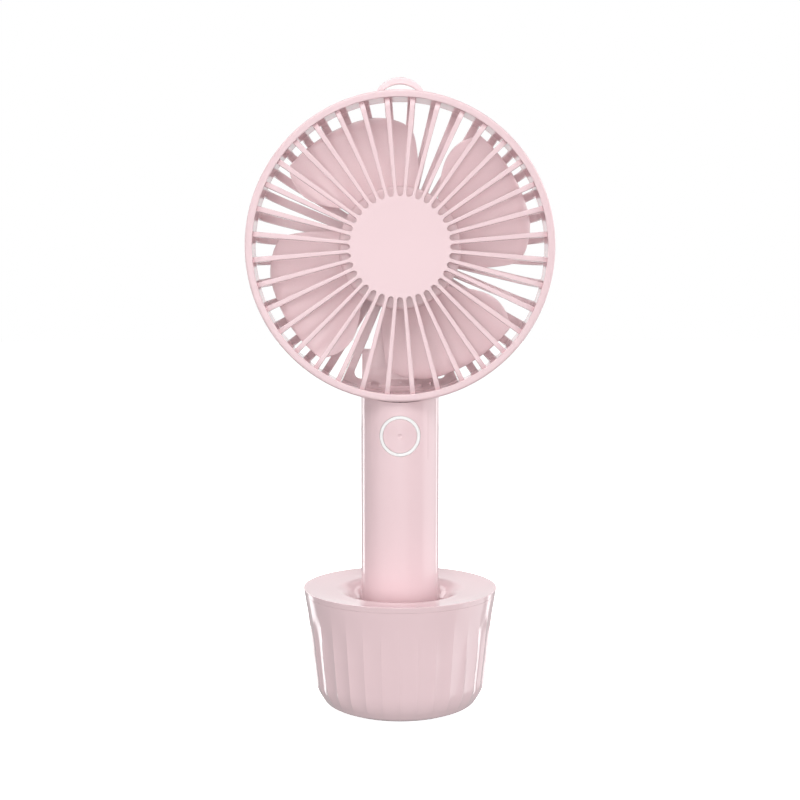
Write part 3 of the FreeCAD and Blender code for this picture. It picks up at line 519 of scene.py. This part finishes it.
def slot_ends():
    """Wall under the two shorter slots: its lines run down the side and round the shoulder until their
    radius meets a half circle, the end's radius plus the root of half width squared less across squared."""
    half_pitch = math.radians(180 / RIBS)
    half_end = END_SLOT_R * math.tan(half_pitch) - RIB_WIDTH / 2 / math.cos(half_pitch)
    share = np.linspace(-1, 1, 21)[None]
    overlap = 0.5                                  # the wall runs this far under the ribs beside it
    reach = np.abs(share) * (half_end + overlap)
    stop = END_SLOT_R + np.sqrt(np.maximum(half_end ** 2 - reach ** 2, 0))
    down = np.linspace(0, 1, 5)[:-1, None]
    turn = np.linspace(0, 1, 15)[:, None]
    sheets = []
    for corner in (SHOULDER + GUARD_WALL - 0.03, SHOULDER + 0.03):
        swing = np.arccos((stop - TURN_R) / corner) * turn
        size = len(down), share.shape[1]
        side = np.broadcast_to(TURN_R + corner, size)
        radius = np.concatenate([side, TURN_R + corner * np.cos(swing)])
        depth = np.broadcast_to(SLOT_START - 1.0 + (STRAIGHT - SLOT_START + 1.0) * down, size)
        along = np.concatenate([depth, STRAIGHT + corner * np.sin(swing)])
        wide = radius * math.tan(half_pitch) - RIB_WIDTH / 2 + overlap
        sheets.append((radius, along, share * wide / radius))
    quads = grid_faces(len(down) + len(turn), share.shape[1])
    shells = []
    for side_of in (-1, 1):
        outer, inner = [around_fan(r, y, math.pi + side_of * END_SLOT + offset).reshape(-1, 3)
                        for r, y, offset in sheets]
        shells.append(thicken(outer, inner, quads))
    return shells


def middle_plate():
    """Plate with three screw holes: each third is a fan of lines from its hole to its own outline, and the
    points crowd towards the hole by a share raised to a power."""
    steps, rings = 24, 7
    half = math.radians(60)                        # half of the angle that a third spans
    sheets, backs, quads, count = [], [], [], 0
    out = np.linspace(0, PLATE_R, steps + 1)[:-1]
    for middle in (math.radians(60 + 120 * number) for number in range(3)):
        hole = SCREW_CIRCLE * np.array([math.sin(middle), math.cos(middle)])
        edge_a = out[:, None] * np.array([math.sin(middle - half), math.cos(middle - half)])
        swing = np.linspace(middle - half, middle + half, 2 * steps + 1)
        rim = PLATE_R * np.stack([np.sin(swing), np.cos(swing)], -1)
        edge_b = out[::-1, None] * np.array([math.sin(middle + half), math.cos(middle + half)])
        outline = np.concatenate([edge_a, rim, edge_b[:-1]])
        outward = outline - hole
        near = hole + outward / np.linalg.norm(outward, axis=1)[:, None] * SCREW_HOLE
        share = np.linspace(0, 1, rings)[:, None, None] ** 1.5
        flat = near[None] * (1 - share) + outline[None] * share
        flat = flat.reshape(-1, 2)
        sheets.append(np.stack([flat[:, 0], np.full(len(flat), BACK_OUT), FAN_Z + flat[:, 1]], -1))
        backs.append(sheets[-1] - [0, GUARD_WALL, 0])
        quads.append(grid_faces(rings, len(outline), False, True) + count)
        count += len(flat)
    return thicken(np.concatenate(sheets), np.concatenate(backs), np.concatenate(quads))


def neck_fairing():
    """The handle's round carried up the back of the bowl: depth is the smooth minimum of the handle's
    cylinder and a slope that runs out on the back, and never less than the bowl itself."""
    columns, rows = 49, 25
    side = np.linspace(-1, 1, columns)[None]
    x = (HANDLE_R - 0.02) * np.sin(side * math.pi / 2)
    foot = FAN_Z - np.sqrt(GUARD_R ** 2 - x ** 2)
    top = FAN_Z - 36.0
    share = np.linspace(0, 1, rows)[:, None]
    z = foot + (top + 1.0 - foot) * share
    x = np.broadcast_to(x, z.shape)
    radius = np.hypot(x, z - FAN_Z)
    cylinder = np.sqrt(np.maximum(HANDLE_R ** 2 - x ** 2, 0))
    slope = BACK_OUT - 0.6 + (HANDLE_R + 1.6 - BACK_OUT) * (top + 1.0 - z) / 10.0
    outside = -np.logaddexp(-cylinder * 3, -slope * 3) / 3
    inside = bowl_outside(radius) - 1.2
    outside = np.maximum(outside, inside + 0.05)
    outer = np.stack([x, outside, z], -1).reshape(-1, 3)
    inner = np.stack([x, inside, z], -1).reshape(-1, 3)
    return thicken(outer, inner, grid_faces(rows, columns))


def hanging_loop():
    """Band between two arcs struck from different centres: each point is a share of the way from the outer
    arc to the hole's, by a section that is flat in front and lightly rounded."""
    crown = BOWL_HIGH[2]
    outer_r, hole_r, band, depth = 9.2, 8.6, 2.25, 2.0
    outer_z, hole_z = crown - outer_r, crown - band - hole_r
    foot = FAN_Z + GUARD_R - 1.6                   # both ends are sunk into the bowl
    share = np.linspace(-1, 1, 48)

    def arc(radius, middle):
        """Points of one arc, from foot to foot."""
        end = math.acos((foot - middle) / radius)
        return np.stack([radius * np.sin(share * end), middle + radius * np.cos(share * end)], -1)

    section = rounded([(0, 0, 0.25), (1, 0, 0.25), (1, depth, 0.25), (0, depth, 0.25)], 3)
    blend = section[None, :, 0, None]
    flat = arc(outer_r, outer_z)[:, None] * (1 - blend) + arc(hole_r, hole_z)[:, None] * blend
    front = SPLIT + 0.4
    depths = np.broadcast_to(front + section[None, :, 1], flat.shape[:2])
    points = np.stack([flat[..., 0], depths, flat[..., 1]], -1)
    return points.reshape(-1, 3), closed_tube(*points.shape[:2])


# ---- impeller -------------------------------------------------------------------------------------
def blade_edges(radius):
    """Clock angles of a blade's leading and trailing edge: a parabola through three radii, and a line
    that falls away with the fourth power near the tip."""
    middle = 37.0
    lead = (37.8 * (radius - middle) * (radius - TIP_R) / ((HUB_R - middle) * (HUB_R - TIP_R))
            + 27.8 * (radius - HUB_R) * (radius - TIP_R) / ((middle - HUB_R) * (middle - TIP_R))
            + 35.8 * (radius - HUB_R) * (radius - middle) / ((TIP_R - HUB_R) * (TIP_R - middle)))
    past = np.maximum(0.0, (radius - middle) / (TIP_R - middle))
    trail = 106.8 - 0.503 * (radius - HUB_R) - 16.1 * past ** 4
    return np.radians(lead), np.radians(trail)


def blades():
    """Each blade is a closed section carried out along the radius: chord position from a cosine, its
    thickness a blunt superellipse that thins towards the tip."""
    radial, around = 26, 64
    share = np.linspace(0, 1, radial)[:, None]
    radius = HUB_R - 1.0 + (TIP_R - HUB_R + 1.0) * np.sin(share * math.pi / 2) ** 0.9
    reach = (radius - HUB_R) / (TIP_R - HUB_R)
    loop = np.linspace(0, 2 * math.pi, around, endpoint=False)[None]
    along = 0.5 - 0.5 * np.cos(loop)
    lead, trail = blade_edges(radius)
    lead_y = HUB_FRONT + 0.5 - 2.0 * reach
    camber = lead_y + (1.2 - lead_y) * along + 1.2 * np.sin(math.pi * along)
    half = BLADE_HALF * np.sign(np.sin(loop)) * np.abs(np.sin(loop)) ** 0.45
    tip_round = 0.6                                # the tip is rounded off over this much of its radius
    tip = np.sqrt(np.maximum(1 - np.maximum(0, (radius - TIP_R + tip_round) / tip_round) ** 2, 0.02))
    depth = camber + BLADE_HALF + half * tip
    angle = lead + (trail - lead) * along
    quads = grid_faces(radial, around, False, True).tolist()
    last = (radial - 1) * around
    cap = [[last + i, last + i + 1, last + around - 1 - i, last + (around - i) % around]
           for i in range(1, around // 2 - 1)]
    cap += [[last, last + 1, last + around - 1],
            [last + around // 2 - 1, last + around // 2, last + around // 2 + 1]]
    root = [list(range(around))]
    shells = []
    for number in range(BLADES):
        turned = angle + 2 * math.pi / BLADES * number
        shells.append((around_fan(radius, depth, turned).reshape(-1, 3), quads + cap + root))
    return shells


def impeller():
    """Cup-shaped hub with an inner collar that the rotor sits in, turned from one section, and its blades."""
    skirt_in, floor = HUB_R - 1.4, HUB_FRONT + 1.6
    collar_out, collar_in, collar_back = 18.0, 16.62, 1.0
    hub = rounded([(0, HUB_FRONT, 0), (HUB_R, HUB_FRONT, 1.0), (HUB_R, HUB_HIGH[1], 0.3),
                   (skirt_in, HUB_HIGH[1], 0.3), (skirt_in, floor, 0.5), (collar_out, floor, 0.3),
                   (collar_out, collar_back, 0.2), (collar_in, collar_back, 0.2), (collar_in, floor, 0),
                   (0, floor, 0)])
    shells = [lathe(hub, around_fan, 160)] + blades()
    # the impeller takes the pink painted lighter against the shade behind the grille
    return piece("impeller_shell", shells, PINK_PAINTED_LIGHTER, "impeller", "impeller")


# ---- handle ---------------------------------------------------------------------------------------
def stadium_ray(angle, half_wide, half_high):
    """Distance from the middle of a stadium to its outline at an angle."""
    c, s = np.abs(np.cos(angle)), np.abs(np.sin(angle))
    run = half_wide - half_high
    flat = half_high / np.maximum(s, 1e-9)
    end = run * c + np.sqrt(np.maximum(half_high ** 2 - (run * s) ** 2, 0))
    return np.where(flat * c <= run, flat, end)


def wall_patch(radius, facing, half_turn, low, high, hole_z, half_wide, half_high, across, upright):
    """Patch of the tube round an opening: straight lines, on the unrolled wall, from hole to frame."""
    t = np.linspace(-half_turn, half_turn, across + 1)
    u = np.linspace(low, high, upright + 1)
    frame_turn = np.concatenate([t[:-1], np.full(upright, t[-1]), t[::-1][:-1], np.full(upright, t[0])])
    frame_high = np.concatenate([np.full(across, low), u[:-1], np.full(across, high), u[::-1][:-1]])
    aim = np.arctan2(frame_high - hole_z, frame_turn * HANDLE_R)
    reach = stadium_ray(aim, half_wide, half_high)
    hole_turn = np.arcsin(reach * np.cos(aim) / radius)
    hole_high = hole_z + reach * np.sin(aim)
    share = np.linspace(0, 1, 7)[:, None]
    turn = hole_turn * (1 - share) + frame_turn * share
    high_at = hole_high * (1 - share) + frame_high * share
    points = around_handle(radius, high_at, turn + facing).reshape(-1, 3)
    return points, grid_faces(7, len(aim), False, True)


def wall_block(radius, start_turn, end_turn, across, levels, cope=False):
    """Plain stretch of the tube; with cope its last row follows the round guard above it."""
    turn = np.linspace(start_turn, end_turn, across + 1)[None]
    height = np.broadcast_to(np.asarray(levels)[:, None], (len(levels), across + 1)).copy()
    if cope:
        share = np.linspace(0, 1, len(levels))[:, None]
        x = HANDLE_R * np.sin(turn)
        top = FAN_Z - np.sqrt((GUARD_R + 0.3) ** 2 - x ** 2)
        height = levels[0] + (top - levels[0]) * share
    points = around_handle(radius, height, turn).reshape(-1, 3)
    return points, grid_faces(len(levels), across + 1)


def handle_wall(radius):
    """The whole wall at one radius: blocks and patches that share their edge points."""
    quarter = math.radians(45)
    floor = TUBE_LOW[2]
    usb_z = (USB_LOW[2] + USB_HIGH[2]) / 2
    screw_z = (NECK_SCREW_LOW[2] + NECK_SCREW_HIGH[2]) / 2
    # Heights of the frames round the openings, and the rows of points between one height and the next.
    usb_low, button_low, usb_high, screw_low, top, cope_from = 80.0, 87.2, 92.0, 96.0, 105.2, 107
    knots = [(floor, usb_low, 24), (usb_low, button_low, 6), (button_low, usb_high, 4),
             (usb_high, screw_low, 4), (screw_low, top, 8)]

    def levels(low, high):
        """Heights of the rows from low to high, taken from the knots so that neighbours share them."""
        rows = [np.linspace(a, b, n + 1)[:-1] for a, b, n in knots if a >= low - 1e-6 and b <= high + 1e-6]
        return np.append(np.concatenate(rows), high)

    def block(begin, rows, cope=False):
        """Plain stretch of a quarter turn."""
        return wall_block(radius, begin, begin + 2 * quarter, 24, rows, cope)

    def patch(facing, low, high, hole_z, half_wide, half_high, upright):
        """Quarter turn with an opening in it."""
        return wall_patch(radius, facing, quarter, low, high, hole_z, half_wide, half_high, 24, upright)

    back = 3 * quarter
    glow_hole = GLOW_R + 0.06
    parts = [block(begin, levels(floor, top)) for begin in (quarter, -3 * quarter)]
    parts += [block(begin, np.linspace(top, cope_from, 5), cope=True)
              for begin in (-quarter, quarter, 3 * quarter, 5 * quarter)]
    parts += [block(-quarter, levels(floor, button_low)),
              patch(0.0, button_low, top, BUTTON_Z, glow_hole, glow_hole, 16),
              block(back, levels(floor, usb_low)),
              patch(math.pi, usb_low, usb_high, usb_z, *USB_HALF, 10),
              block(back, levels(usb_high, screw_low)),
              patch(math.pi, screw_low, top, screw_z, NECK_SCREW_R, NECK_SCREW_R, 8)]
    points, quads, count = [], [], 0
    for block_points, block_quads in parts:
        points.append(block_points)
        quads.append(block_quads + count)
        count += len(block_points)
    return np.concatenate(points), np.concatenate(quads)


def handle_tube():
    """Tube with its openings: the wall worked out at the outer and the inner radius, joined at every edge."""
    outer, quads = handle_wall(HANDLE_R)
    inner = handle_wall(HANDLE_IN)[0]
    return piece("handle_wall", [thicken(outer, inner, quads)], PINK, "fan", "handle_tube",
                 bevel=0.12)


def on_handle(radius, depth, angle):
    """Point of a button-shaped part whose face follows the handle: depth is below that face."""
    x = radius * np.sin(angle)
    y = -np.sqrt(HANDLE_R ** 2 - x ** 2) + depth
    return np.stack(np.broadcast_arrays(x, y, BUTTON_Z + radius * np.cos(angle)), -1)


def light_ring():
    """Ring turned about the button's axis from its section, whose hole widens behind the cap. Its depth is
    measured from the handle's round, so its face follows the handle."""
    hole, wider = CAP_R + 0.05, CAP_R + 0.55
    section = rounded([(GLOW_R, 0, 0.12), (hole, 0, 0.1), (hole, 3.0, 0), (wider, 3.2, 0), (wider, 8.0, 0),
                       (GLOW_R, 8.0, 0)])
    return piece("light_ring_guide", [lathe(section, on_handle, 128)], ACRYLIC, "fan", "light_ring")


def button_cap():
    """Cap turned from its section, with its depth measured from the handle's round, and a plain turned
    stem behind it. The cap has a softened edge and a small round dimple to find it by touch."""
    section = rounded([(0, 0.3, 0), (0.45, 0.3, 0.2), (0.8, 0, 0.25), (CAP_R, 0, 0.22), (CAP_R, 3.3, 0),
                       (0, 3.3, 0)])
    rod = rounded([(0, 3.0, 0), (1.6, 3.0, 0), (1.6, 9.8, 0.2), (0, 9.8, 0)])
    stem = lathe(rod, lambda radius, depth, angle: np.stack(np.broadcast_arrays(
        radius * np.sin(angle), depth - HANDLE_R, BUTTON_Z + radius * np.cos(angle)), -1), 32)
    return piece("button_cap_shell", [lathe(section, on_handle, 128), stem], PINK, "button", "button_cap")


# ---- stand ----------------------------------------------------------------------------------------
def pot_wall():
    """Turned wall; on its outside each of the flutes takes away depth times one minus the square of the
    distance from the flute's middle, and that depth runs out towards rim and foot."""
    outline = rounded([(24.3, 0.6, 0.1), (26.4, 0.6, 3.0), (29.9, 6.0, 14.0), (31.6, 20.5, 40.0),
                       (32.65, 32.0, 170.0), (SEAM_R, SEAM_Z, 0.05), (31.65, SEAM_Z, 0.1), (31.0, 36.5, 0),
                       (30.4, 31.5, 0), (29.3, 20.5, 0), (27.55, 6.5, 0), (25.1, 3.3, 0), (24.3, 2.6, 0)], 10)
    lengths = np.linalg.norm(np.diff(outline, axis=0), axis=1)
    longest = 0.8                                  # no step along the outline is much longer than this
    fine = [np.linspace(a, b, max(1, int(gap / longest)) + 1)[:-1]
            for a, b, gap in zip(outline[:-1], outline[1:], lengths)]
    outline = np.concatenate(fine + [outline[-1:]])
    radius, height = outline[None, :, 0], outline[None, :, 1]
    turns = FLUTES * 12
    angle = np.linspace(0, 2 * math.pi, turns, endpoint=False)[:, None]
    share = (angle * FLUTES / (2 * math.pi)) % 1.0 * 2 - 1
    rise = np.clip((height - FLUTE_FOOT) / FLUTE_RISE, 0, 1)
    fall = np.clip((FLUTE_TOP - height) / FLUTE_FALL, 0, 1)
    depth = FLUTE_DEPTH * rise ** 2 * (3 - 2 * rise) * fall ** 2 * (3 - 2 * fall)
    outside = radius > 26.8 + height * 0.1         # points beyond this line are on the outer face
    radius = radius - np.where(outside, depth * (1 - share ** 2), 0)
    points = around_handle(radius, height + 0 * radius, angle)
    return piece("pot_wall", [(points.reshape(-1, 3), grid_faces(turns, len(outline), True, True))], PINK,
                 "base", "pot_shell", sharp=12)


def pot_lid():
    """Lid turned from its section: a dished top that rolls down into the closed socket tube."""
    low = RIM_Z - 1.1                              # bottom of the dish
    roll = 20.4 - SOCKET_R                         # radius of the roll into the socket
    floor, tube_out, skirt = LID_LOW[2] + 1.8, SOCKET_R + 2, SEAM_Z - 4
    lid = rounded([(SEAM_R, SEAM_Z + 0.05, 0.05), (RIM_R, RIM_Z, 0.16), (27.5, low + 0.3, 60.0),
                   (19.6, low - 0.02, 8.0), (SOCKET_R, low - roll - 0.4, 5.0), (SOCKET_R, floor, 0.2),
                   (0, floor, 0), (0, LID_LOW[2], 0), (tube_out, LID_LOW[2], 0.3),
                   (tube_out, low - roll, 1.0), (SOCKET_R + 5, low - 2.6, 0), (28.6, low - 2.2, 0),
                   (28.6, skirt, 0), (30.4, skirt, 0), (31.3, SEAM_Z + 0.05, 0)], 12)
    return piece("pot_lid", [lathe(lid, around_handle, 256)], PINK, "base", "top_collar")


# ---- studio ---------------------------------------------------------------------------------------
MIDDLE = np.array([0, 0, 0.11])                    # half way up the fan, in metres
SENSOR_MM = 36.0
LENS_MM = 55.88
CAMERA_PLACE = (0, -0.43696, 0.1379)               # metres
CAMERA_DIP = 3.947                                 # degrees that it looks down


def round_the_fan(azimuth, distance, height):
    """Place on a circle round the handle, in metres: azimuth 0 is in front, 90 on the right."""
    turn = math.radians(azimuth)
    return np.array([distance * math.sin(turn), -distance * math.cos(turn), height])


def soft_box(name, place, wide, high, radiance, mirrored=True):
    """Rectangular soft light of a size in metres, aimed at the fan and unseen by the camera. Crossed filters
    can keep its own mirror image off the piece."""
    data = bpy.data.lights.new(name, "AREA")
    data.shape = "RECTANGLE"
    data.size, data.size_y = wide, high
    data.energy = radiance * math.pi * wide * high
    lamp = bpy.data.objects.new(name, data)
    aim = MIDDLE - place
    level = math.hypot(aim[0], aim[1])
    lamp.location = place
    lamp.rotation_euler = (math.atan2(level, -aim[2]), 0, math.atan2(-aim[0], aim[1]))
    lamp.visible_camera = False
    lamp.visible_glossy = mirrored
    bpy.context.scene.collection.objects.link(lamp)


def white_air():
    """Even white surroundings: bright where they are seen or mirrored, gentler as light on the piece."""
    world = bpy.data.worlds.new("studio air")
    world.use_nodes = True
    tree = world.node_tree
    tree.nodes.clear()
    path = add(tree, "ShaderNodeLightPath")
    seen = add(tree, "ShaderNodeBackground", inputs={"Color": (1, 1, 1, 1), "Strength": 1.0})
    light = add(tree, "ShaderNodeBackground", inputs={"Color": (1, 1, 1, 1), "Strength": 0.25})
    mirror = add(tree, "ShaderNodeBackground", inputs={"Color": (1, 1, 1, 1), "Strength": 0.55})
    soft = add(tree, "ShaderNodeMixShader",
               links=[(0, path, "Is Diffuse Ray"), (1, mirror, 0), (2, light, 0)])
    both = add(tree, "ShaderNodeMixShader",
               links=[(0, path, "Is Camera Ray"), (1, soft, 0), (2, seen, 0)])
    add(tree, "ShaderNodeOutputWorld", links=[("Surface", both, 0)])
    bpy.context.scene.world = world


def light_table():
    """Broad pale floor that glows a little, as an opal light table does: a flat disc turned from its section,
    a hair below the foot."""
    wide, thick = 6000, 20
    outline = np.array([(0, 0), (wide / 2, 0), (wide, 0), (wide, -thick), (0, -thick)], float)
    points, quads = lathe(outline, around_handle, 96)
    mesh = bpy.data.meshes.new("floor")
    mesh.from_pydata((points * MM - [0, 0, 0.00005]).tolist(), [], quads.tolist())
    opal, tree, shader, place = start("opal light table")
    fibre = add(tree, "ShaderNodeTexNoise", inputs={"Scale": 1 / (1.5 * MM), "Detail": 3.0},
                links=[("Vector", place, "Object")])
    tone = add(tree, "ShaderNodeMix", {"data_type": "RGBA"}, {6: linear("#f5f4f4"), 7: linear("#fcfbfb")},
               [(0, fibre, "Fac")])
    tree.links.new(tone.outputs[2], shader.inputs["Base Color"])
    shader.inputs["Roughness"].default_value = 0.9
    shader.inputs["Specular IOR Level"].default_value = 0.1
    shader.inputs["Emission Color"].default_value = (1, 1, 1, 1)
    shader.inputs["Emission Strength"].default_value = 0.88
    mesh.materials.append(opal)
    floor = bpy.data.objects.new("floor", mesh)
    floor.visible_diffuse = False
    floor.visible_glossy = False
    floor.visible_shadow = False
    bpy.context.scene.collection.objects.link(floor)


def studio():
    """White surroundings, the floor, eight soft boxes and the camera.

    The tall boxes at the sides and behind draw bright lines down the handle and the stand. The others light
    the front, the lid and the inside of the bowl."""
    scene = bpy.context.scene
    scene.view_settings.view_transform = "Standard"
    white_air()
    light_table()
    soft_box("left rim box", round_the_fan(-137, 0.9, 0.17), 0.24, 1.26, 2.9)
    soft_box("right rim box", round_the_fan(138, 0.9, 0.17), 0.17, 1.26, 2.4)
    soft_box("right box", round_the_fan(98, 0.9, 0.20), 0.9, 1.4, 1.45)
    soft_box("front box", round_the_fan(-22, 0.9, 0.12), 1.75, 0.66, 0.6)
    soft_box("top front box", round_the_fan(0, 0.75, 0.85), 0.9, 0.5, 3.6)
    soft_box("overhead box", np.array([-0.35, 0.1, 1.1]), 0.9, 0.9, 1.3)
    soft_box("back box", round_the_fan(180, 1.0, 0.25), 1.6, 0.5, 0.6)
    soft_box("key box", round_the_fan(-3, 0.8, 0.13), 0.30, 0.26, 8.9, mirrored=False)

    data = bpy.data.cameras.new("camera")
    data.sensor_width, data.lens = SENSOR_MM, LENS_MM
    camera = bpy.data.objects.new("camera", data)
    camera.location = CAMERA_PLACE
    camera.rotation_euler = (math.radians(90 - CAMERA_DIP), 0, 0)
    scene.collection.objects.link(camera)
    scene.camera = camera


finish_nodes()
front_guard()
rear_guard()
impeller()
handle_tube()
light_ring()
button_cap()
pot_wall()
pot_lid()
studio()
